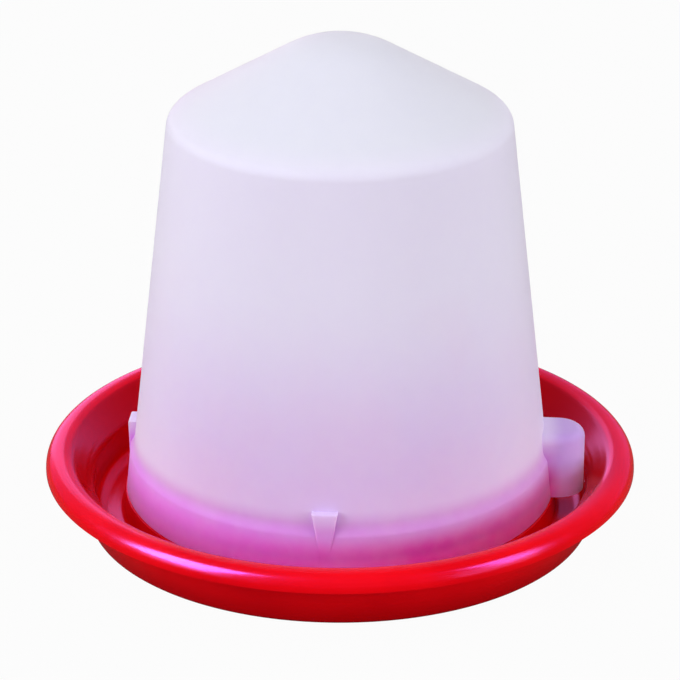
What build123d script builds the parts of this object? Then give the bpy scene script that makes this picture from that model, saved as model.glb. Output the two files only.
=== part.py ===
from build123d import *
import os
from math import atan2, cos, hypot, radians, sin, sqrt, tan

# Poultry drinker: an upturned translucent jar that stands on a round red tray.
# The jar is filled upside down, the tray is laid on its mouth and both are turned over. Water
# runs out through the spout beside the mouth until the trough's level covers the spout's edge.
# Origin: on the drinker's axis, at the tray's foot. +Z is up and the spout points along +X.
# Every length is in millimetres, and a radius is measured from the drinker's axis.

# Seat: the raised middle of the tray, which carries the jar's mouth
seat_height = 14.4
seat_margin = 0.6
seat_draft = 1.0
seat_edge_chamfer = 0.4
ring_height = 6.0
ring_wall = 2.2
ring_clearance = 0.8
ring_chamfer = 0.6

# Tray: one injection moulding of even wall, with its rim rolled outwards and down
tray_wall = 3.0
trough_width = 14.4
trough_round = 7.0
wall_lean = 0.6
bend_height = 21.2
bend_round = 6.0
flare_width = 11.1
rim_height = 34.8
rim_land = 0.74
roll_radius = 7.5
lip_drop = 0.9
foot_edge_chamfer = 1.6

# Jar: one moulding of even wall, open at the mouth and closed by a cone that a hen can't perch on
jar_wall = 2.2
jar_height = 230.6
mouth_radius = 105.5
mouth_chamfer = 0.6
band_draft = 2.1
band_height = 20.2
ledge_depth = 2.1
ledge_height = 3.6
ledge_round = 5.0
ledge_foot_round = 10.0
shoulder_radius = 82.1
shoulder_round = 7.5
cone_slope = 30.5
crown_round = 55.0

# Spout: a hollow nose of the jar's wall over the trough, open below and towards the jar
spout_wall = 2.0
spout_gap = 1.1
spout_nose_radius = 13.4
spout_root_width = 27.6
spout_height = 33.4
spout_lift = 0.8
spout_top_round = 5.0

# Nesting lugs: three wedges on the wall, whose flat tops carry the mouth of the next jar
lug_count = 3
lug_depth = 3.0
lug_height = 31.6
lug_top_width = 12.2
lug_foot_width = 3.2
lug_foot_height = 5.0
lug_edge_round = 0.7

# Radii that follow: the tray is laid out outwards from the jar's mouth, the jar inwards
seat_radius = mouth_radius + seat_margin
seat_foot_radius = seat_radius + seat_draft
trough_radius = seat_foot_radius + trough_width
bend_radius = trough_radius + wall_lean
flare_radius = bend_radius + flare_width
flare_turn = atan2(rim_height - bend_height, flare_width)
rim_radius = flare_radius + roll_radius * tan(flare_turn / 2) + rim_land + roll_radius
band_radius = mouth_radius - band_draft
wall_radius = band_radius - ledge_depth
spout_reach = trough_radius - spout_gap

# Overlap of a cutting tool past the face that it cuts through
run_out = 2.0


def parallel(corners, gap):
    """Corners of the outline that runs to the right of another one, at a fixed gap."""
    shifted = []
    for (r0, z0), (r1, z1) in zip(corners, corners[1:]):
        length = hypot(r1 - r0, z1 - z0)
        right = ((z1 - z0) / length * gap, (r0 - r1) / length * gap)
        shifted.append(((r0 + right[0], z0 + right[1]), (r1 + right[0], z1 + right[1])))
    inner = [crossing(before, after) for before, after in zip(shifted, shifted[1:])]
    return [shifted[0][0], *inner, shifted[-1][1]]


def crossing(before, after):
    """Point where two straight stretches of an outline meet, each made longer if need be."""
    (ar, az), (br, bz) = before
    (cr, cz), (dr, dz) = after
    across = (br - ar) * (dz - cz) - (bz - az) * (dr - cr)
    share = ((cr - ar) * (dz - cz) - (cz - az) * (dr - cr)) / across
    return (ar + share * (br - ar), az + share * (bz - az))


def rounded(corners, rounds):
    """Outline through the corners. Each inner corner has a radius, or a 0 that leaves it sharp."""
    outline = Polyline(*corners)
    for corner, radius in zip(corners[1:], rounds):
        if radius:
            outline = fillet(outline.vertices().sort_by_distance(corner)[0], radius)
    return outline


def chamfered(corner, before, after, length):
    """Two points that cut a corner, at a length from it towards the points before and after."""
    points = []
    for towards in (before, after):
        share = length / hypot(towards[0] - corner[0], towards[1] - corner[1])
        points.append(tuple(c + share * (t - c) for c, t in zip(corner, towards)))
    return points


def revolved(outline):
    """Solid of revolution of a closed outline drawn in the r-z half plane."""
    return revolve(Plane.XZ * make_face(outline.edges()), Axis.Z)


def tray():
    """Tray: seat, trough and rolled rim as one skin, with a ring that centres the jar's mouth."""
    top = [
        (0, seat_height),
        (seat_radius, seat_height),
        (seat_foot_radius, tray_wall),
        (trough_radius, tray_wall),
        (bend_radius, bend_height),
        (flare_radius, rim_height),
        (rim_radius, rim_height),
        (rim_radius, rim_height - roll_radius - lip_drop),
    ]
    seat, seat_edge, seat_foot, wall_foot, bend, mouth, rim, lip = parallel(top, tray_wall)
    roll_chamfer = (2 - sqrt(2)) * (roll_radius - tray_wall)
    below = [
        seat,
        seat_edge,
        seat_foot,
        *chamfered(wall_foot, seat_foot, bend, foot_edge_chamfer),
        bend,
        mouth,
        *chamfered(rim, mouth, lip, roll_chamfer),
        lip,
    ]
    above = [top[0], *chamfered(top[1], top[0], top[2], seat_edge_chamfer), *top[2:]]
    upper = rounded(above, [0, 0, 0, trough_round, bend_round, roll_radius, roll_radius])
    lower = rounded(below, [0, 0, 0, 0, bend_round + tray_wall, 0, 0, 0])
    skin = upper + Line(upper @ 1, lower @ 1) + lower + Line(lower @ 0, upper @ 0)
    ring_radius = mouth_radius - jar_wall - ring_clearance
    ring = Circle(ring_radius) - Circle(ring_radius - ring_wall)
    ring = Pos(0, 0, seat_height - tray_wall / 2) * extrude(ring, ring_height + tray_wall / 2)
    ring = chamfer(ring.edges().group_by(Axis.Z)[-1], ring_chamfer)
    return revolved(skin) + ring


def jar_blank(inset, drop):
    """Solid filled up to the jar's skin, or to the surface that lies inset inside it.

    It starts at the mouth, or drop below it.
    """
    slope = radians(cone_slope)
    mouth_z = seat_height
    band_z = mouth_z + band_height
    apex_z = mouth_z + jar_height + crown_round * (1 / cos(slope) - 1)
    crown_r = crown_round * sin(slope)
    skin = [
        (mouth_radius, mouth_z),
        (band_radius, band_z),
        (wall_radius, band_z + ledge_height),
        (shoulder_radius, apex_z - shoulder_radius * tan(slope)),
        (crown_r, apex_z - crown_r * tan(slope)),
    ]
    rounds = [max(ledge_round - inset, 0), ledge_foot_round + inset, shoulder_round - inset]
    skin = parallel(skin, -inset)
    flare = (mouth_radius - band_radius) / band_height
    foot = (skin[0][0] + (skin[0][1] - mouth_z + drop) * flare, mouth_z - drop)
    side = rounded([foot, *skin[1:]], rounds)
    crown = RadiusArc(side @ 1, (0, mouth_z + jar_height - inset), -(crown_round - inset))
    base = Polyline(crown @ 1, (0, foot[1]), side @ 0)
    return revolved(side + crown + base)


def spout_plan(inset):
    """Plan of the spout, set in by a wall: a round nose whose sides spread towards the jar."""
    nose = Pos(spout_reach - spout_nose_radius, 0) * Circle(spout_nose_radius - inset)
    root_x = wall_radius - jar_wall - spout_top_round - run_out
    half_root = spout_root_width / 2 - inset
    root = Line((root_x, -half_root), (root_x, half_root))
    return make_hull(nose.edges() + root.edges())


def spout_blank():
    """Outside of the spout, with its upper edge rounded."""
    low = seat_height + spout_lift
    blank = Pos(0, 0, low) * extrude(spout_plan(0), spout_height - spout_lift)
    return fillet(blank.edges().group_by(Axis.Z)[-1], spout_top_round)


def spout_hollow():
    """Inside of the spout, open below."""
    low = seat_height - run_out
    blank = Pos(0, 0, low) * extrude(spout_plan(spout_wall), spout_height - spout_wall + run_out)
    return fillet(blank.edges().group_by(Axis.Z)[-1], spout_top_round - spout_wall)


def lug():
    """One nesting lug on the +X side: a wedge that narrows down the wall."""
    high = seat_height + lug_height
    low = seat_height + lug_foot_height
    half_top = lug_top_width / 2
    half_foot = lug_foot_width / 2
    corners = [(-half_foot, low), (half_foot, low), (half_top, high), (-half_top, high)]
    face = Polygon(*corners, align=None)
    root_radius = shoulder_radius
    wedge = Pos(root_radius, 0, 0) * extrude(Plane.YZ * face, wall_radius + lug_depth - root_radius)
    return fillet(wedge.edges().group_by(Axis.X)[-1], lug_edge_round)


def jar():
    """Jar: even wall, stepped band at the mouth, spout and nesting lugs, all one moulding."""
    blank = jar_blank(0, 0)
    solid = chamfer(blank.edges().group_by(Axis.Z)[0], mouth_chamfer) + spout_blank()
    step = 360 / (lug_count + 1)
    for index in range(1, lug_count + 1):
        solid += Rot(0, 0, index * step) * lug()
    return solid - jar_blank(jar_wall, run_out) - spout_hollow()


if __name__ == "__main__":
    os.makedirs("parts", exist_ok=True)
    export_step(tray(), "parts/tray.step")
    export_step(jar(), "parts/jar.step")
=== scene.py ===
"""Poultry drinker: a translucent jar, upturned on a round red tray with a drinking trough.

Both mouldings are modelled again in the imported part's frame, with the same outlines and with
facets fine enough for their gloss, and dressed as satin polythene and glossy red plastic.
Lengths are in metres, and a radius is measured from the drinker's axis.
"""
import logging
import math
from dataclasses import dataclass
from enum import Enum
from typing import Callable, NamedTuple, Sequence

import bpy
from mathutils import Matrix, Vector


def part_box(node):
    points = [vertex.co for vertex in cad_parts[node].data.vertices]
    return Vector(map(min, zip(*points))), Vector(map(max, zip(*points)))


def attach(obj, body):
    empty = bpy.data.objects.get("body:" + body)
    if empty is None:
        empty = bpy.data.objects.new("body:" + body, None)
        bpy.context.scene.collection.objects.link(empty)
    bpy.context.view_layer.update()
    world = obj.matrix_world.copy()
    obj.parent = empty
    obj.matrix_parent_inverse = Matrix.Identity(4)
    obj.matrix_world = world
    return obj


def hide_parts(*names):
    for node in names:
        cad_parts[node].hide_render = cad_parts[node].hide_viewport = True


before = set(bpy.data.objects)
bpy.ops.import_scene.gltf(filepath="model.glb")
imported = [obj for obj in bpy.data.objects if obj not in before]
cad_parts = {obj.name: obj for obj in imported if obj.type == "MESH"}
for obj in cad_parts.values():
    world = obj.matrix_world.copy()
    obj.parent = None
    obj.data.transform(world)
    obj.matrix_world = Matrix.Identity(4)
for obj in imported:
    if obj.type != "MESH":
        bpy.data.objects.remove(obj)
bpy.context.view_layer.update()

Colour = tuple[float, float, float]
Span = tuple[float, float]

MM = 0.001
WHITE: Colour = (1.0, 1.0, 1.0)

# Points nearer than the first are one point, and an edge shorter than the second is dropped
SAME_PLACE = 0.01 * MM
SHORTEST_EDGE = 0.005 * MM

# How far a cutting tool runs past the face that it cuts through
RUN_OUT = 2.0 * MM

# The bevel profile that makes a part of a circle
ROUND_PROFILE = 0.5

# The level that a noise's values lie about
NOISE_MIDDLE = 0.5

log = logging.getLogger("drinker")


class Cut(Enum):
    """How one solid changes another."""

    JOIN = "UNION"
    REMOVE = "DIFFERENCE"


class Quarter(Enum):
    """The jar's quarters with a lug, by the angle in degrees from the spout, seen from above."""

    FRONT = 270
    LEFT = 180
    BACK = 90


class Corner(NamedTuple):
    """A corner of an outline: its radius from the axis, its height and how far it is rounded."""

    across: float
    height: float
    rounding: float = 0.0


class Grain(NamedTuple):
    """A noise: the size of one grain, how many finer layers it has and how strong they are."""

    size: float
    layers: float = 2.0
    strength: float = 0.5


def scaled(span: Span, factor: float) -> Span:
    """Both ends of a span times a factor."""
    return span[0] * factor, span[1] * factor


def inside_of(radius: float, span: Span) -> Span:
    """The two radii that lie inside another by the ends of a span."""
    return radius - span[0], radius - span[1]


def opaque(colour: Colour) -> tuple[float, float, float, float]:
    """A colour with its alpha, as a socket takes it."""
    return (*colour, 1.0)


class Outline:
    """An open line in the plane of radius and height, given by its corners."""

    def __init__(self, corners: Sequence[Corner]) -> None:
        """Keeps the corners in order, and their places as vectors."""
        self.corners = corners
        self.places = [Vector((corner.across, corner.height)) for corner in corners]

    def points(self, turn: float) -> list[Vector]:
        """Works out the line's points, with each rounded corner as an arc.

        Args:
            turn: The largest turn from one stretch of an arc to the next, in radians.

        Returns:
            The points, from the first corner to the last.
        """
        points = []
        for index, (corner, place) in enumerate(zip(self.corners, self.places)):
            if corner.rounding > 0.0:
                before, after = self.places[index - 1], self.places[index + 1]
                points.extend(self._arc(before, place, after, corner.rounding, turn))
            else:
                points.append(place)
        return points

    @staticmethod
    def _arc(before: Vector, corner: Vector, after: Vector, radius: float,
             turn: float) -> list[Vector]:
        """Rounds one corner.

        Args:
            before: The point before the corner.
            corner: The corner.
            after: The point after it.
            radius: The arc's radius.
            turn: The largest turn between two stretches.

        Returns:
            The arc's points, both ends among them.
        """
        backward = (before - corner).normalized()
        forward = (after - corner).normalized()
        half_open = backward.angle(forward) / 2.0
        centre = corner + (backward + forward).normalized() * radius / math.sin(half_open)
        reach = radius / math.tan(half_open)
        first = corner + backward * reach - centre
        last = corner + forward * reach - centre
        sweep = first.angle_signed(last)
        steps = max(2, math.ceil(abs(sweep) / turn))
        turns = [Matrix.Rotation(-sweep * step / steps, 2) for step in range(steps + 1)]
        return [centre + matrix @ first for matrix in turns]


class Workshop:
    """The modelling moves that the pieces share, each made with Blender's own operators."""

    @staticmethod
    def alone(piece: bpy.types.Object) -> None:
        """Makes a piece the only one selected, and the active one.

        Args:
            piece: The piece.
        """
        bpy.ops.object.select_all(action="DESELECT")
        piece.select_set(True)
        bpy.context.view_layer.objects.active = piece

    @staticmethod
    def trace(name: str, points: Sequence[Vector]) -> bpy.types.Object:
        """Draws a line by extruding one point from each place to the next.

        Args:
            name: The new piece's name.
            points: The places, in three dimensions.

        Returns:
            The piece, a mesh of edges alone.
        """
        bpy.ops.object.select_all(action="DESELECT")
        bpy.ops.mesh.primitive_plane_add(size=MM)
        piece = bpy.context.object
        piece.name = name
        piece.data.name = name
        bpy.ops.object.mode_set(mode="EDIT")
        bpy.ops.mesh.select_mode(type="VERT")
        bpy.ops.mesh.select_all(action="SELECT")
        bpy.ops.mesh.merge(type="CENTER")
        bpy.ops.transform.translate(value=points[0])
        for start, end in zip(points, points[1:]):
            bpy.ops.mesh.extrude_vertices_move(TRANSFORM_OT_translate={"value": end - start})
        bpy.ops.object.mode_set(mode="OBJECT")
        return piece

    @classmethod
    def turned(cls, name: str, outline: Sequence[Vector], steps: int) -> bpy.types.Object:
        """Spins an outline that starts and ends on the axis into a closed form.

        Args:
            name: The new piece's name.
            outline: The outline's points as radius and height.
            steps: How many facets the form has around its axis.

        Returns:
            The turned piece, with its faces pointing outwards.
        """
        piece = cls.trace(name, [Vector((point.x, 0.0, point.y)) for point in outline])
        bpy.ops.object.mode_set(mode="EDIT")
        bpy.ops.mesh.select_all(action="SELECT")
        bpy.ops.mesh.spin(steps=steps, angle=math.tau, center=(0.0, 0.0, 0.0), axis=(0.0, 0.0, 1.0))
        cls.close_up()
        return piece

    @classmethod
    def raised(cls, name: str, face: Sequence[Vector], rise: Vector) -> bpy.types.Object:
        """Fills a closed line and raises it into a prism.

        Args:
            name: The new piece's name.
            face: The line's corners in space, without the first one again at the end.
            rise: Way from this face to the opposite one.

        Returns:
            The prism, with its faces pointing outwards.
        """
        piece = cls.trace(name, face)
        bpy.ops.object.mode_set(mode="EDIT")
        bpy.ops.mesh.select_all(action="SELECT")
        bpy.ops.mesh.edge_face_add()
        bpy.ops.mesh.extrude_region_move(TRANSFORM_OT_translate={"value": rise})
        cls.close_up()
        return piece

    @staticmethod
    def close_up() -> None:
        """Merges doubled points and turns the faces outwards, and leaves edit mode."""
        bpy.ops.mesh.select_all(action="SELECT")
        bpy.ops.mesh.remove_doubles(threshold=SAME_PLACE)
        bpy.ops.mesh.dissolve_degenerate(threshold=SHORTEST_EDGE)
        bpy.ops.mesh.select_all(action="SELECT")
        bpy.ops.mesh.normals_make_consistent(inside=False)
        bpy.ops.object.mode_set(mode="OBJECT")

    @classmethod
    def round_edges(cls, piece: bpy.types.Object, chosen: Callable[[Vector, Vector], bool],
                    radius: float, steps: int) -> None:
        """Bevels the edges that a test picks by their two ends.

        Args:
            piece: The piece.
            chosen: Tells from an edge's two ends whether it is rounded.
            radius: How far the bevel reaches from the edge.
            steps: How many facets the rounding has.
        """
        cls.alone(piece)
        bpy.ops.object.mode_set(mode="EDIT")
        bpy.ops.mesh.select_mode(type="EDGE")
        bpy.ops.mesh.select_all(action="DESELECT")
        bpy.ops.object.mode_set(mode="OBJECT")
        places = [vertex.co for vertex in piece.data.vertices]
        for edge in piece.data.edges:
            first, last = edge.vertices
            edge.select = chosen(places[first], places[last])
        bpy.ops.object.mode_set(mode="EDIT")
        bpy.ops.mesh.bevel(offset=radius, segments=steps, profile=ROUND_PROFILE, affect="EDGES")
        cls.close_up()

    @classmethod
    def cut(cls, piece: bpy.types.Object, tool: bpy.types.Object, how: Cut) -> None:
        """Joins a tool to a piece or takes it away, and drops the tool.

        Args:
            piece: The piece that is changed.
            tool: The other solid.
            how: Whether the tool is joined or removed.
        """
        cls.alone(piece)
        modifier = piece.modifiers.new(how.name.lower(), "BOOLEAN")
        modifier.operation = how.value
        modifier.solver = "EXACT"
        modifier.object = tool
        bpy.ops.object.modifier_apply(modifier=modifier.name)
        bpy.data.objects.remove(tool)

    @classmethod
    def turn_about_axis(cls, piece: bpy.types.Object, degrees: float) -> None:
        """Turns a piece about the drinker's axis and puts the turn in its mesh.

        Args:
            piece: The piece.
            degrees: The angle, anticlockwise from above.
        """
        cls.alone(piece)
        piece.rotation_euler = (0.0, 0.0, math.radians(degrees))
        bpy.ops.object.transform_apply(location=False, rotation=True, scale=False)

    @classmethod
    def smooth(cls, piece: bpy.types.Object, degrees: float) -> None:
        """Smooths the shading wherever two faces meet at less than an angle."""
        cls.alone(piece)
        bpy.ops.object.shade_smooth_by_angle(angle=math.radians(degrees))


class Wire:
    """A shader value: a node's output or a plain number, with the usual arithmetic."""

    def __init__(self, graph: "Graph", source: bpy.types.NodeSocket | float) -> None:
        """Keeps the graph and the output or number."""
        self.graph = graph
        self.source = source

    def _math(self, operation: str, *values: "Wire | float") -> "Wire":
        """Adds a Math node over this value and others.

        Args:
            operation: The Math node's operation.
            values: Its inputs, in order.

        Returns:
            The node's output.
        """
        sources = {index: value for index, value in enumerate(values)}
        return self.graph.add("ShaderNodeMath", {"operation": operation}, sources)["Value"]

    def __add__(self, other: "Wire | float") -> "Wire":
        """Sum of two values."""
        return self._math("ADD", self, other)

    __radd__ = __add__

    def __sub__(self, other: "Wire | float") -> "Wire":
        """This value less another."""
        return self._math("SUBTRACT", self, other)

    def __rsub__(self, other: "Wire | float") -> "Wire":
        """Another value less this one."""
        return self._math("SUBTRACT", other, self)

    def __mul__(self, other: "Wire | float") -> "Wire":
        """Product of two values."""
        return self._math("MULTIPLY", self, other)

    __rmul__ = __mul__

    def __truediv__(self, other: "Wire | float") -> "Wire":
        """This value over another."""
        return self._math("DIVIDE", self, other)

    def __rtruediv__(self, other: "Wire | float") -> "Wire":
        """Another value over this one."""
        return self._math("DIVIDE", other, self)

    def __pow__(self, other: "Wire | float") -> "Wire":
        """This value to a power."""
        return self._math("POWER", self, other)

    def __rpow__(self, other: "Wire | float") -> "Wire":
        """Another value to the power of this one."""
        return self._math("POWER", other, self)

    def highest(self, other: "Wire | float") -> "Wire":
        """The larger of two values."""
        return self._math("MAXIMUM", self, other)

    def within(self, low: float, high: float) -> "Wire":
        """Share of the way from one level to another, held between 0 and 1 and eased.

        Args:
            low: The level that gives 0.
            high: The level that gives 1.

        Returns:
            The share.
        """
        settings = {"interpolation_type": "SMOOTHSTEP"}
        sockets = {"Value": self, "From Min": low, "From Max": high, "To Min": 0.0, "To Max": 1.0}
        return self.graph.add("ShaderNodeMapRange", settings, sockets)["Result"]


class Outputs:
    """A node's outputs, each as a Wire."""

    def __init__(self, graph: "Graph", node: bpy.types.Node) -> None:
        """Keeps the graph and the node."""
        self.graph = graph
        self.node = node

    def __getitem__(self, key: str | int) -> Wire:
        """The output of a name or number."""
        return Wire(self.graph, self.node.outputs[key])


class Graph:
    """A node tree that is written as code."""

    # Numbers of the Mix node's sockets for colours, which share their names with others
    MIX_SHARE = 0
    MIX_FIRST = 6
    MIX_SECOND = 7
    MIX_RESULT = 2

    def __init__(self, owner: bpy.types.Material | bpy.types.World) -> None:
        """Empties the node tree of a material or world.

        Args:
            owner: The material or world.
        """
        owner.use_nodes = True
        self.tree = owner.node_tree
        self.tree.nodes.clear()

    def add(self, kind: str, settings: dict[str, object] | None = None,
            sockets: dict[str | int, object] | None = None) -> Outputs:
        """Adds a node.

        Args:
            kind: The node's type.
            settings: Its settings; stops is the list of a ramp's places and colours.
            sockets: The value of each input, or the Wire that feeds it, by name or number.

        Returns:
            The node's outputs.
        """
        node = self.tree.nodes.new(kind)
        for name, value in (settings or {}).items():
            if name == "stops":
                self._set_stops(node.color_ramp, value)
            else:
                setattr(node, name, value)
        for key, value in (sockets or {}).items():
            source = value.source if isinstance(value, Wire) else value
            if isinstance(source, bpy.types.NodeSocket):
                self.tree.links.new(source, node.inputs[key])
            else:
                node.inputs[key].default_value = source
        return Outputs(self, node)

    @staticmethod
    def _set_stops(ramp: bpy.types.ColorRamp, stops: Sequence[tuple[float, Colour]]) -> None:
        """Gives a ramp its stops.

        Args:
            ramp: The ramp.
            stops: Places from 0 to 1, each with its colour.
        """
        ramp.interpolation = "EASE"
        while len(ramp.elements) < len(stops):
            ramp.elements.new(1.0)
        for element, (place, colour) in zip(ramp.elements, stops):
            element.position = place
            element.color = opaque(colour)

    def mix(self, share: Wire | float, first: Wire | Colour, second: Wire | Colour) -> Wire:
        """Mixes two colours.

        Args:
            share: How much of the second colour there is.
            first: A colour or the Wire that carries one.
            second: Another.

        Returns:
            The mixed colour.
        """
        first, second = (opaque(value) if isinstance(value, tuple) else value
                         for value in (first, second))
        sockets = {self.MIX_SHARE: share, self.MIX_FIRST: first, self.MIX_SECOND: second}
        return self.add("ShaderNodeMix", {"data_type": "RGBA"}, sockets)[self.MIX_RESULT]

    def noise(self, place: Wire, grain: Grain) -> Wire:
        """Smooth noise over a surface.

        Args:
            place: The coordinates.
            grain: The noise's grain.

        Returns:
            A value about NOISE_MIDDLE.
        """
        sockets = {"Vector": place, "Scale": 1.0 / grain.size, "Detail": grain.layers,
                   "Roughness": grain.strength}
        return self.add("ShaderNodeTexNoise", {}, sockets)["Fac"]

    def bump(self, height: Wire, strength: float, distance: float) -> Wire:
        """Normal of a surface with small heights on it.

        Args:
            height: The heights.
            strength: How much of them shows.
            distance: The depth that a height of 1 stands for.

        Returns:
            The normal.
        """
        sockets = {"Height": height, "Strength": strength, "Distance": distance}
        return self.add("ShaderNodeBump", {}, sockets)["Normal"]

    def finish(self, shader: Outputs, kind: str = "ShaderNodeOutputMaterial") -> None:
        """Joins the last shader to the tree's output."""
        self.add(kind, {}, {"Surface": shader[0]})


@dataclass(frozen=True)
class JarPlastic:
    """Natural polythene, milky and satin, whose foot is painted magenta with red light from the
    tray.

    The colours run up the jar from its mouth, the lower ones with painted red light from the
    tray. Painted light makes the foot more violet towards the left and the lower wall paler at
    both sides, as a painted sheen, and the spout's nose has painted light and shade of its own.
    """

    slot: str = "jar_plastic"
    roughness: float = 0.60
    refraction: float = 1.5
    specular: float = 0.03
    sheen: float = 0.30
    scatter_share: float = 0.5
    scatter_length: float = 3.0 * MM
    scatter_colours: Colour = WHITE

    # Colours from the mouth up, the foot to the low wall with painted red light from the tray;
    # then the nose's, also painted light and shade, and the tints, of which violet is painted light
    foot: Colour = (1.0, 0.06, 0.56)
    band: Colour = (0.68, 0.035, 0.42)
    ledge: Colour = (0.61, 0.27, 0.70)
    low_wall: Colour = (0.71, 0.53, 0.87)
    wall: Colour = (0.82, 0.76, 0.99)
    crown: Colour = (0.77, 0.77, 0.90)
    nose: Colour = (0.57, 0.36, 0.80)
    nose_foot: Colour = (0.90, 0.40, 0.86)
    painted_violet: Colour = (0.80, 0.20, 1.0)
    blush: Colour = (0.86, 0.56, 0.72)
    mist: Colour = (0.95, 0.95, 1.0)

    # Where the colours lie: in heights of the ledge up to the low wall, then in the jar's height
    foot_top: float = 0.22
    band_place: float = 0.50
    ledge_place: float = 1.05
    low_wall_place: float = 1.6
    wall_places: Span = (0.60, 0.80)
    crown_place: float = 0.87

    # Blush: soft clouds of it, and where they fade in the jar's height
    cloud_grain: Grain = Grain(55.0 * MM)
    cloud_levels: Span = (0.42, 0.66)
    blush_fade: Span = (0.30, 0.85)
    blush_share: float = 0.10

    # Painted violet light low on the left: where it fades from left to right, and upwards in
    # heights of the ledge
    violet_across: Span = (-100.0 * MM, 60.0 * MM)
    violet_fade: Span = (0.6, 1.5)
    violet_share: float = 0.75

    # Painted sheen, paler sides: how far aside, from which heights of the ledge, up to where in
    # the jar's height
    pale_across: Span = (50.0 * MM, 100.0 * MM)
    pale_start: Span = (1.0, 1.8)
    pale_end: Span = (0.45, 0.65)
    pale_share: float = 0.4

    # Nose, with painted shade and red light from the tray, its foot painted lighter against its
    # shadow: how far towards the spout it begins, and where its foot fades in heights of the ledge
    nose_across: Span = (101.0 * MM, 111.0 * MM)
    nose_fade: Span = (0.2, 1.0)

    # Mist in the plastic, and the small heights of its skin
    mist_grain: Grain = Grain(9.0 * MM, 3.0)
    mist_levels: Span = (0.3, 0.7)
    mist_share: float = 0.035
    mist_roughness: float = 0.08
    skin_grain: Grain = Grain(0.9 * MM, 2.0, 0.6)
    skin_share: float = 0.25
    wave_grain: Grain = Grain(16.0 * MM, 1.0)
    bump_strength: float = 0.25
    bump_depth: float = 0.10 * MM

    def stops(self, edge: float) -> list[tuple[float, Colour]]:
        """Lists the colours up the jar.

        Args:
            edge: Height of the ledge, as a share of the jar's.

        Returns:
            Each colour with its place, from 0 at the mouth to 1 at the crown.
        """
        return [
            # The foot, band, ledge and low wall carry painted red light from the tray
            (0.0, self.foot),
            (edge * self.foot_top, self.foot),
            (edge * self.band_place, self.band),
            (edge * self.ledge_place, self.ledge),
            (edge * self.low_wall_place, self.low_wall),
            (self.wall_places[0], self.wall),
            (self.wall_places[1], self.wall),
            (self.crown_place, self.crown),
        ]

    def tinted(self, graph: Graph, place: Wire, across: Wire, share: Wire, edge: float) -> Wire:
        """Lays the tints over the colours up the jar.

        Args:
            graph: The material's graph.
            place: The coordinates.
            across: The coordinate towards the spout.
            share: The height, from 0 at the mouth to 1 at the crown.
            edge: Height of the ledge in the same measure.

        Returns:
            The colour.
        """
        stops = {"stops": self.stops(edge)}
        colour = graph.add("ShaderNodeValToRGB", stops, {"Fac": share})["Color"]
        cloud = graph.noise(place, self.cloud_grain).within(*self.cloud_levels)
        blush = cloud * (1.0 - share.within(*self.blush_fade)) * self.blush_share
        colour = graph.mix(blush, colour, self.blush)
        # Painted light: violet low on the left side
        low = 1.0 - share.within(*scaled(self.violet_fade, edge))
        painted_violet = (1.0 - across.within(*self.violet_across)) * low * self.violet_share
        colour = graph.mix(painted_violet, colour, self.painted_violet)
        # Painted sheen: the lower wall paler at both sides
        aside = ((across * across) ** 0.5).within(*self.pale_across)
        above_ledge = share.within(*scaled(self.pale_start, edge))
        painted_pale_sides = aside * above_ledge * (1.0 - share.within(*self.pale_end))
        colour = graph.mix(painted_pale_sides * self.pale_share, colour, self.wall)
        # Painted light and shade on the nose: red light from the tray, lighter at its foot against
        # its shadow
        nose = graph.mix(share.within(*scaled(self.nose_fade, edge)), self.nose_foot, self.nose)
        return graph.mix(across.within(*self.nose_across), colour, nose)

    def material(self, low: float, high: float, ledge: float) -> bpy.types.Material:
        """Makes the jar's material.

        Args:
            low: Height of the jar's mouth.
            high: Height of its crown.
            ledge: Height of the ledge above its band.

        Returns:
            The material.
        """
        material = bpy.data.materials.new(self.slot)
        graph = Graph(material)
        place = graph.add("ShaderNodeTexCoord")["Object"]
        axes = graph.add("ShaderNodeSeparateXYZ", {}, {"Vector": place})
        span = high - low
        share = (axes["Z"] - low) / span
        colour = self.tinted(graph, place, axes["X"], share, (ledge - low) / span)
        mist = graph.noise(place, self.mist_grain)
        colour = graph.mix(mist.within(*self.mist_levels) * self.mist_share, colour, self.mist)
        grain = graph.noise(place, self.skin_grain)
        waves = graph.noise(place, self.wave_grain)
        normal = graph.bump(grain * self.skin_share + waves, self.bump_strength, self.bump_depth)
        roughness = self.roughness + (mist - NOISE_MIDDLE) * self.mist_roughness
        shader = graph.add("ShaderNodeBsdfPrincipled", {"subsurface_method": "RANDOM_WALK"}, {
            "Base Color": colour,
            "Roughness": roughness,
            "IOR": self.refraction,
            "Normal": normal,
            "Specular IOR Level": self.specular,
            "Subsurface Weight": self.scatter_share,
            "Subsurface Radius": self.scatter_colours,
            "Subsurface Scale": self.scatter_length,
            "Sheen Weight": self.sheen,
        })
        graph.finish(shader)
        return material


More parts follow.
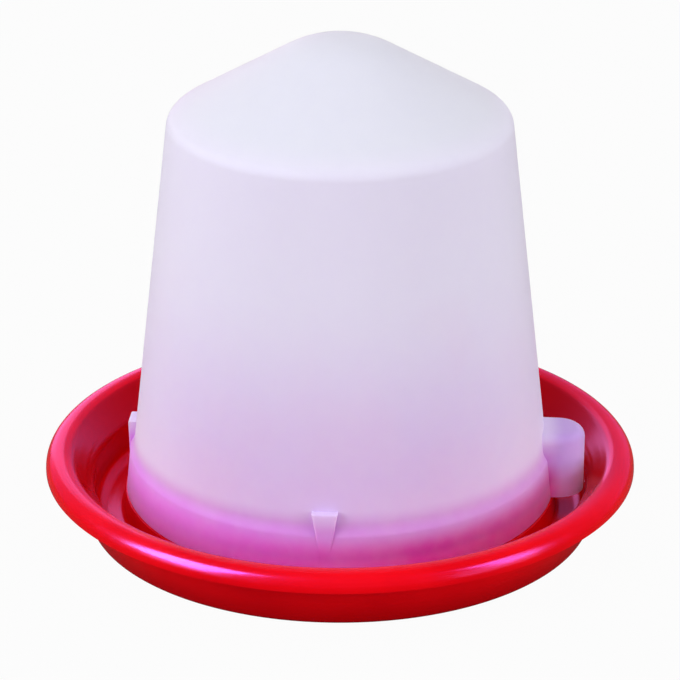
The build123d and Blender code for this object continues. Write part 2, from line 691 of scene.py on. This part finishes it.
@dataclass(frozen=True)
class TrayPlastic:
    """Glossy red injection moulding, with flow waves, rings from its mould and a rubbed rim.

    The inner wall of the trough and its flare, and the foot outside, are painted a darker red
    as shade, and the gloss is tinted.
    """

    slot: str = "tray_plastic"
    deep: Colour = (0.80, 0.001, 0.003)
    bright: Colour = (0.90, 0.002, 0.004)
    # Painted shade: darker reds for the trough's inner wall and flare, and for the foot outside
    painted_shade: Colour = (0.52, 0.001, 0.002)
    foot: Colour = (0.40, 0.001, 0.001)
    gloss: Colour = (0.75, 0.22, 1.0)
    roughness: float = 0.20
    refraction: float = 1.3
    specular: float = 0.5

    # Noises: flow in the plastic, fine wear, and rings round the axis
    flow_grain: Grain = Grain(38.0 * MM)
    flow_levels: Span = (0.3, 0.7)
    flow_roughness: float = 0.05
    fine_grain: Grain = Grain(2.2 * MM, 3.0, 0.6)
    fine_levels: Span = (0.45, 0.75)
    fine_share: float = 0.06
    ring_grain: Grain = Grain(2.6 * MM, 1.0)
    ring_share: float = 5.0
    bump_strength: float = 0.18
    bump_depth: float = 0.15 * MM

    # Distances in from the rim, over which each of these fades in outwards
    outer_wall: Span = (22.4 * MM, 21.4 * MM)
    inner_wall: Span = (25.0 * MM, 23.5 * MM)
    rubbed_rim: Span = (9.0 * MM, 0.0)
    rubbed_roughness: float = 0.06

    # Painted shade, a darker red: the depth under the flare's face at which it ends on the trough's
    # inner wall and flare, its share, and the heights over which it fades on the foot
    flare_skin: Span = (0.1 * MM, 0.7 * MM)
    painted_shade_share: float = 0.8
    foot_shade_fade: Span = (0.0, 16.0 * MM)
    foot_shade_share: float = 0.9

    def material(self, rim: float, bend: float, bend_height: float,
                 tilt: float) -> bpy.types.Material:
        """Makes the tray's material.

        Args:
            rim: Radius of the tray's rim.
            bend: Radius of the bend from the trough's wall to its flare.
            bend_height: Height of that bend.
            tilt: The flare's angle from upright.

        Returns:
            The material.
        """
        material = bpy.data.materials.new(self.slot)
        graph = Graph(material)
        place = graph.add("ShaderNodeTexCoord")["Object"]
        flow = graph.noise(place, self.flow_grain)
        fine = graph.noise(place, self.fine_grain)
        colour = graph.mix(flow.within(*self.flow_levels), self.deep, self.bright)
        axes = graph.add("ShaderNodeSeparateXYZ", {}, {"Vector": place})
        radius = (axes["X"] * axes["X"] + axes["Y"] * axes["Y"]) ** 0.5
        outer = radius.within(*inside_of(rim, self.outer_wall))
        # Painted shade: the trough's inner wall and the flare a darker red
        depth = (radius - bend) * math.cos(tilt) - (axes["Z"] - bend_height) * math.sin(tilt)
        flare = 1.0 - depth.within(*self.flare_skin)
        inner = radius.within(*inside_of(rim, self.inner_wall)) * (1.0 - outer).highest(flare)
        colour = graph.mix(inner * self.painted_shade_share, colour, self.painted_shade)
        # Painted shade: the outer wall darker towards the foot
        foot = outer * (1.0 - axes["Z"].within(*self.foot_shade_fade))
        colour = graph.mix(foot * self.foot_shade_share, colour, self.foot)
        rubbed = radius.within(*inside_of(rim, self.rubbed_rim)) * fine.within(*self.fine_levels)
        roughness = self.roughness + (flow - NOISE_MIDDLE) * self.flow_roughness
        roughness = roughness + rubbed * self.rubbed_roughness
        section = graph.add("ShaderNodeCombineXYZ", {}, {"X": radius, "Y": axes["Z"]})["Vector"]
        rings = graph.noise(section, self.ring_grain)
        height = flow + fine * self.fine_share + rings * self.ring_share
        normal = graph.bump(height, self.bump_strength, self.bump_depth)
        shader = graph.add("ShaderNodeBsdfPrincipled", {}, {
            "Base Color": colour,
            "Roughness": roughness,
            "IOR": self.refraction,
            "Normal": normal,
            "Specular IOR Level": self.specular,
            "Specular Tint": opaque(self.gloss),
        })
        graph.finish(shader)
        return material


@dataclass
class Tray:
    """The tray: raised seat, trough and rolled rim in one skin, and a ring in the jar's mouth."""

    seat: float
    rim: float
    rim_height: float
    mouth: float
    node: str = "tray"
    wall: float = 3.0 * MM
    seat_radius: float = 106.1 * MM
    seat_draft: float = 1.0 * MM
    seat_edge: float = 0.5 * MM
    seat_foot_round: float = 2.2 * MM
    seat_under_round: float = 0.8 * MM
    trough_radius: float = 121.5 * MM
    trough_round: float = 7.0 * MM
    wall_lean: float = 0.6 * MM
    bend_height: float = 21.2 * MM
    bend_round: float = 6.0 * MM
    corner_radius: float = 133.2 * MM
    roll: float = 7.5 * MM
    lip_drop: float = 0.9 * MM
    foot_round: float = 2.2 * MM
    ring_wall: float = 2.2 * MM
    ring_height: float = 6.0 * MM
    ring_gap: float = 3.0 * MM
    steps: int = 288
    arc_turn: float = math.radians(9.0)
    smooth_degrees: float = 40.0
    finish: TrayPlastic = TrayPlastic()

    @property
    def tilt(self) -> float:
        """The flare's angle from upright."""
        width = self.corner_radius - self.trough_radius - self.wall_lean
        return math.atan2(width, self.rim_height - self.bend_height)

    def upper(self) -> list[Vector]:
        """Upper side of the skin, from the axis out to the lip.

        Returns:
            The points as radius and height.
        """
        ring = self.mouth - self.ring_gap
        ring_top = self.seat + self.ring_height
        ring_round = self.ring_wall / 4.0
        return Outline([
            Corner(0.0, self.seat),
            Corner(ring - self.ring_wall, self.seat),
            Corner(ring - self.ring_wall, ring_top, ring_round),
            Corner(ring, ring_top, ring_round),
            Corner(ring, self.seat),
            Corner(self.seat_radius, self.seat, self.seat_edge),
            Corner(self.seat_radius + self.seat_draft, self.wall, self.seat_foot_round),
            Corner(self.trough_radius, self.wall, self.trough_round),
            Corner(self.trough_radius + self.wall_lean, self.bend_height, self.bend_round),
            Corner(self.corner_radius, self.rim_height, self.roll),
            Corner(self.rim, self.rim_height, self.roll),
            Corner(self.rim, self.rim_height - self.roll - self.lip_drop),
        ]).points(self.arc_turn)

    def lower(self) -> list[Vector]:
        """Lower side of the skin, from the lip back to the axis.

        Returns:
            The points as radius and height.
        """
        tilt = self.tilt
        lip = self.rim_height - self.roll - self.lip_drop
        under_rim = self.rim_height - self.wall
        under_seat = self.seat - self.wall
        corner = self.corner_radius + self.wall * math.tan((math.pi / 2.0 - tilt) / 2.0)
        bend = self.trough_radius + self.wall_lean + self.wall
        bend_height = self.bend_height - self.wall * math.tan(tilt / 2.0)
        seat_foot = self.seat_radius + self.seat_draft - self.wall
        return Outline([
            Corner(self.rim - self.wall, lip),
            Corner(self.rim - self.wall, under_rim, self.roll - self.wall),
            Corner(corner, under_rim, self.roll - self.wall),
            Corner(bend, bend_height, self.bend_round + self.wall),
            Corner(self.trough_radius + self.wall, 0.0, self.foot_round),
            Corner(seat_foot, 0.0, self.seat_under_round),
            Corner(self.seat_radius - self.wall, under_seat, self.seat_under_round),
            Corner(0.0, under_seat),
        ]).points(self.arc_turn)

    def build(self) -> bpy.types.Object:
        """Turns the tray's skin and dresses it.

        Returns:
            The tray.
        """
        tray = Workshop.turned("tray_skin", self.upper() + self.lower(), self.steps)
        Workshop.smooth(tray, self.smooth_degrees)
        bend = self.trough_radius + self.wall_lean
        material = self.finish.material(self.rim, bend, self.bend_height, self.tilt)
        tray.data.materials.append(material)
        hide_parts(self.node)
        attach(tray, "root")
        return tray


@dataclass
class Spout:
    """The jar's spout: a hollow nose over the trough, open below and towards the jar."""

    mouth: float
    low: float
    reach: float
    wall: float = 2.0 * MM
    lift: float = 0.8 * MM
    height: float = 33.4 * MM
    nose_radius: float = 13.4 * MM
    root_width: float = 27.6 * MM
    root_depth: float = 13.4 * MM
    top_round: float = 5.0 * MM
    nose_steps: int = 26
    round_steps: int = 6

    @property
    def root(self) -> float:
        """How far from the axis the spout begins, inside the jar's wall."""
        return self.mouth - self.root_depth

    def plan(self, inset: float) -> list[Vector]:
        """Plan of the spout: a round nose with straight sides that spread towards the jar.

        Args:
            inset: How far inside the outer skin the plan lies.

        Returns:
            The plan's corners, anticlockwise from above.
        """
        centre = Vector((self.reach - self.nose_radius, 0.0))
        radius = self.nose_radius - inset
        root = Vector((self.root, self.root_width / 2.0 - inset))
        way = root - centre
        edge = math.atan2(way.y, way.x) - math.acos(radius / way.length)
        nose = []
        for step in range(self.nose_steps + 1):
            angle = edge * (2.0 * step / self.nose_steps - 1.0)
            nose.append(centre + radius * Vector((math.cos(angle), math.sin(angle))))
        return [Vector((root.x, -root.y)), *nose, root]

    def block(self, name: str, inset: float, low: float, high: float) -> bpy.types.Object:
        """Raises the plan into a solid and rounds its upper edge.

        Args:
            name: The solid's name.
            inset: How far inside the outer skin it lies.
            low: Height of its underside.
            high: Height of its top.

        Returns:
            The solid.
        """
        face = [Vector((point.x, point.y, low)) for point in self.plan(inset)]
        block = Workshop.raised(name, face, Vector((0.0, 0.0, high - low)))
        level = high - SAME_PLACE
        inner = self.root + SAME_PLACE

        def on_top(first: Vector, last: Vector) -> bool:
            """True for an edge of the top face that isn't the root's."""
            return min(first.z, last.z) > level and max(first.x, last.x) > inner

        Workshop.round_edges(block, on_top, self.top_round - inset, self.round_steps)
        return block

    def body(self) -> bpy.types.Object:
        """Outside of the spout."""
        return self.block("spout_body", 0.0, self.low + self.lift, self.low + self.height)

    def hollow(self) -> bpy.types.Object:
        """Inside of the spout, open below."""
        top = self.low + self.height - self.wall
        return self.block("spout_hollow", self.wall, self.low - RUN_OUT, top)


@dataclass
class Lug:
    """A nesting lug: a wedge on the wall that narrows downwards, whose top carries the next jar."""

    low: float
    reach: float = 104.3 * MM
    root: float = 96.0 * MM
    height: float = 31.6 * MM
    foot_height: float = 5.0 * MM
    top_width: float = 12.2 * MM
    foot_width: float = 3.2 * MM
    edge: float = 0.7 * MM
    edge_steps: int = 3

    def body(self, quarter: Quarter) -> bpy.types.Object:
        """Makes the lug on one side of the jar.

        Args:
            quarter: The side.

        Returns:
            The solid.
        """
        low, high = self.low + self.foot_height, self.low + self.height
        half_foot, half_top = self.foot_width / 2.0, self.top_width / 2.0
        sides = [(-half_foot, low), (half_foot, low), (half_top, high), (-half_top, high)]
        face = [Vector((self.root, y, z)) for y, z in sides]
        rise = Vector((self.reach - self.root, 0.0, 0.0))
        lug = Workshop.raised(f"lug_{quarter.name.lower()}", face, rise)
        front = self.reach - SAME_PLACE

        def in_front(first: Vector, last: Vector) -> bool:
            """True for an edge of the face that points away from the jar."""
            return min(first.x, last.x) > front

        Workshop.round_edges(lug, in_front, self.edge, self.edge_steps)
        Workshop.turn_about_axis(lug, quarter.value)
        return lug


@dataclass
class Jar:
    """The jar: an even wall with a stepped band, a conical top, a spout and three nesting lugs."""

    low: float
    high: float
    reach: float
    node: str = "jar"
    wall: float = 2.2 * MM
    mouth: float = 105.5 * MM
    mouth_edge: float = 0.7 * MM
    band_radius: float = 103.4 * MM
    band_height: float = 20.2 * MM
    ledge_height: float = 3.6 * MM
    ledge_round: float = 5.0 * MM
    ledge_foot_round: float = 10.0 * MM
    least_round: float = 0.4 * MM
    wall_radius: float = 101.3 * MM
    shoulder_radius: float = 82.1 * MM
    shoulder_round: float = 7.5 * MM
    cone_slope: float = math.radians(30.5)
    crown_round: float = 55.0 * MM
    crown_steps: int = 10
    steps: int = 240
    arc_turn: float = math.radians(7.5)
    smooth_degrees: float = 30.0
    finish: JarPlastic = JarPlastic()

    @property
    def ledge(self) -> float:
        """Height of the band's upper edge."""
        return self.low + self.band_height

    def skin(self, inset: float, drop: float) -> list[Vector]:
        """Outline of the jar, or of its inside, from the axis below to the axis on top.

        Args:
            inset: How far inside the outer skin the outline lies.
            drop: How far below the mouth it starts.

        Returns:
            The points as radius and height.
        """
        slope = self.cone_slope
        outer_apex = self.high + self.crown_round * (1.0 / math.cos(slope) - 1.0)
        apex = outer_apex - inset / math.cos(slope)
        shoulder_height = outer_apex - self.shoulder_radius * math.tan(slope)
        ledge_top = self.ledge + self.ledge_height
        draft = (self.mouth - self.band_radius) / self.band_height
        lean = (self.wall_radius - self.shoulder_radius) / (shoulder_height - ledge_top)
        wall = self.wall_radius - inset * math.sqrt(1.0 + lean * lean)
        mouth = self.mouth - inset * math.sqrt(1.0 + draft * draft)
        shoulder = (apex - ledge_top - wall / lean) / (math.tan(slope) - 1.0 / lean)
        half = inset / 2.0
        side = Outline([
            Corner(0.0, self.low - drop),
            Corner(mouth + drop * draft, self.low - drop, 0.0 if drop else self.mouth_edge),
            Corner(mouth - self.band_height * draft, self.ledge - half,
                   max(self.ledge_round - inset, self.least_round)),
            Corner(wall, ledge_top - half, self.ledge_foot_round + half),
            Corner(shoulder, apex - shoulder * math.tan(slope), self.shoulder_round - inset),
            Corner(0.0, apex),
        ]).points(self.arc_turn)[:-1]
        return side + self.crown(inset)

    def crown(self, inset: float) -> list[Vector]:
        """Rounded top of the skin, from the cone's upper edge to the axis.

        Args:
            inset: How far inside the outer skin it lies.

        Returns:
            The points as radius and height.
        """
        radius = self.crown_round - inset
        centre = self.high - self.crown_round
        points = []
        for step in range(self.crown_steps + 1):
            angle = self.cone_slope * (1.0 - step / self.crown_steps)
            points.append(Vector((radius * math.sin(angle), centre + radius * math.cos(angle))))
        return points

    def build(self) -> bpy.types.Object:
        """Makes the jar's one moulding and dresses it.

        Returns:
            The jar.
        """
        jar = Workshop.turned("jar_body", self.skin(0.0, 0.0), self.steps)
        spout = Spout(self.mouth, self.low, self.reach)
        Workshop.cut(jar, spout.body(), Cut.JOIN)
        for quarter in Quarter:
            Workshop.cut(jar, Lug(self.low).body(quarter), Cut.JOIN)
        inside = Workshop.turned("jar_inside", self.skin(self.wall, RUN_OUT), self.steps)
        Workshop.cut(jar, inside, Cut.REMOVE)
        Workshop.cut(jar, spout.hollow(), Cut.REMOVE)
        Workshop.smooth(jar, self.smooth_degrees)
        jar.data.materials.append(self.finish.material(self.low, self.high, self.ledge))
        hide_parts(self.node)
        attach(jar, "root")
        return jar


def stand(thing: bpy.types.Object, aim: Vector, side: float, rise: float,
          distance: float) -> None:
    """Puts a lamp or camera into the scene and turns it towards a point.

    Args:
        thing: The lamp or camera.
        aim: The point that it looks at.
        side: Its angle from the front, to the right, in radians.
        rise: Its angle above the floor, in radians.
        distance: How far from the point it stands.
    """
    bpy.context.scene.collection.objects.link(thing)
    level = math.cos(rise)
    way = Vector((math.sin(side) * level, -math.cos(side) * level, math.sin(rise)))
    thing.location = aim + way * distance
    thing.rotation_euler = (-way).to_track_quat("-Z", "Y").to_euler()


@dataclass(frozen=True)
class Lamp:
    """A soft rectangular lamp that looks at the drinker.

    Its side and rise are degrees to the right of the front and above the floor. One for gloss
    alone shows in reflections and adds nothing to the light on matt surfaces.
    """

    name: str
    side: float
    rise: float
    width: float
    height: float
    power: float
    gloss_alone: bool = False
    colour: Colour = WHITE
    distance: float = 1.6

    def build(self, aim: Vector) -> None:
        """Hangs the lamp.

        Args:
            aim: The point that it looks at.
        """
        light = bpy.data.lights.new(self.name, "AREA")
        light.shape = "RECTANGLE"
        light.size = self.width
        light.size_y = self.height
        light.energy = self.power
        light.color = self.colour
        lamp = bpy.data.objects.new(self.name, light)
        stand(lamp, aim, math.radians(self.side), math.radians(self.rise), self.distance)
        lamp.visible_camera = False
        lamp.visible_diffuse = not self.gloss_alone


@dataclass(frozen=True)
class Studio:
    """White background, pale floor, soft lamps and the camera, all about one point."""

    aim_height: float = 90.21 * MM
    distance: float = 1.5999
    azimuth: float = math.radians(4.0)
    elevation: float = math.radians(23.066)
    focal_length: float = 173.78
    sensor: float = 36.0

    # Light all round: its level at each side, and the directions between which it changes
    left_level: float = 0.80
    right_level: float = 0.60
    side_fade: Span = (-0.9, 0.9)

    # What gloss sees: the level in front, the directions in which it rises to white, and a tint
    room: float = 0.06
    room_fade: Span = (0.2, 0.9)
    mirror_tint: Colour = (0.9, 0.30, 0.95)

    # Floor: the paper under the shadow, and the white that covers all but a share of it
    floor_size: float = 6.0
    paper: Colour = (0.12, 0.12, 0.12)
    white_strength: float = 1.07
    shadow_share: float = 0.10

    lamps: tuple[Lamp, ...] = (
        Lamp("key", side=-54.0, rise=20.0, width=0.9, height=0.9, power=11.5),
        Lamp("fill", side=62.0, rise=8.0, width=0.9, height=0.9, power=12.5),
        Lamp("left_gloss", side=-62.0, rise=36.0, width=1.0, height=1.1, power=330.0,
             gloss_alone=True, colour=(0.6, 0.65, 1.0)),
        Lamp("right_gloss", side=72.0, rise=30.0, width=0.55, height=0.9, power=60.0,
             gloss_alone=True, colour=(0.6, 0.6, 1.0)),
        Lamp("back_gloss", side=-157.0, rise=14.0, width=0.8, height=1.0, power=6.0,
             gloss_alone=True, colour=(1.0, 0.35, 0.85)),
    )

    @property
    def aim(self) -> Vector:
        """The point on the axis that the camera and the lamps look at."""
        return Vector((0.0, 0.0, self.aim_height))

    def camera(self) -> None:
        """Sets the camera at the photograph's angle."""
        data = bpy.data.cameras.new("camera")
        data.lens = self.focal_length
        data.sensor_width = self.sensor
        camera = bpy.data.objects.new("camera", data)
        stand(camera, self.aim, self.azimuth, self.elevation, self.distance)
        bpy.context.scene.camera = camera

    def world(self) -> None:
        """Gives light all round, a little stronger on the left, and a white background.

        Gloss sees a tinted room in its place, white behind the drinker and dim in front of it.
        """
        world = bpy.data.worlds.new("studio")
        bpy.context.scene.world = world
        graph = Graph(world)
        ray = graph.add("ShaderNodeLightPath")
        way = graph.add("ShaderNodeTexCoord")["Generated"]
        axes = graph.add("ShaderNodeSeparateXYZ", {}, {"Vector": way})
        behind = axes["Y"].within(*self.room_fade)
        change = self.right_level - self.left_level
        level = self.left_level + axes["X"].within(*self.side_fade) * change
        seen = ray["Is Camera Ray"].highest(ray["Is Transmission Ray"])
        mirrored = ray["Is Glossy Ray"] * (1.0 - seen)
        sweep = self.room + behind * (1.0 - self.room)
        strength = level + seen * (1.0 - level) + mirrored * (sweep - level)
        colour = graph.mix(mirrored, WHITE, self.mirror_tint)
        shader = graph.add("ShaderNodeBackground", {}, {"Color": colour, "Strength": strength})
        graph.finish(shader, "ShaderNodeOutputWorld")

    def floor(self) -> None:
        """Lays the pale floor, which keeps a faint part of the drinker's shadow."""
        bpy.ops.object.select_all(action="DESELECT")
        bpy.ops.mesh.primitive_plane_add(size=self.floor_size)
        floor = bpy.context.object
        floor.name = "floor"
        material = bpy.data.materials.new("floor_paper")
        graph = Graph(material)
        ray = graph.add("ShaderNodeLightPath")
        seen = ray["Is Camera Ray"].highest(ray["Is Transmission Ray"])
        seen = seen.highest(ray["Is Glossy Ray"] * self.room)
        paper = graph.add("ShaderNodeBsdfDiffuse", {}, {"Color": opaque(self.paper)})
        white = graph.add("ShaderNodeEmission", {}, {
            "Color": opaque(WHITE),
            "Strength": self.white_strength,
        })
        share = seen * (1.0 - self.shadow_share)
        graph.finish(graph.add("ShaderNodeMixShader", {}, {0: share, 1: paper[0], 2: white[0]}))
        floor.data.materials.append(material)

    def build(self) -> None:
        """Sets up the whole studio."""
        bpy.context.scene.view_settings.view_transform = "Standard"
        self.world()
        self.floor()
        for lamp in self.lamps:
            lamp.build(self.aim)
        self.camera()


def report(piece: bpy.types.Object) -> None:
    """Logs a piece's name and how many faces it has."""
    log.info("%s: %d faces", piece.name, len(piece.data.polygons))


def main() -> None:
    """Builds the drinker and its studio."""
    logging.basicConfig(level=logging.INFO, format="%(name)s %(message)s")
    tray_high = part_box("tray")[1]
    jar_low, jar_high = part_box("jar")
    jar = Jar(low=jar_low.z, high=jar_high.z, reach=jar_high.x)
    tray = Tray(seat=jar_low.z, rim=tray_high.x, rim_height=tray_high.z, mouth=jar.mouth)
    report(tray.build())
    report(jar.build())
    Studio().build()


if __name__ == "__main__":
    main()
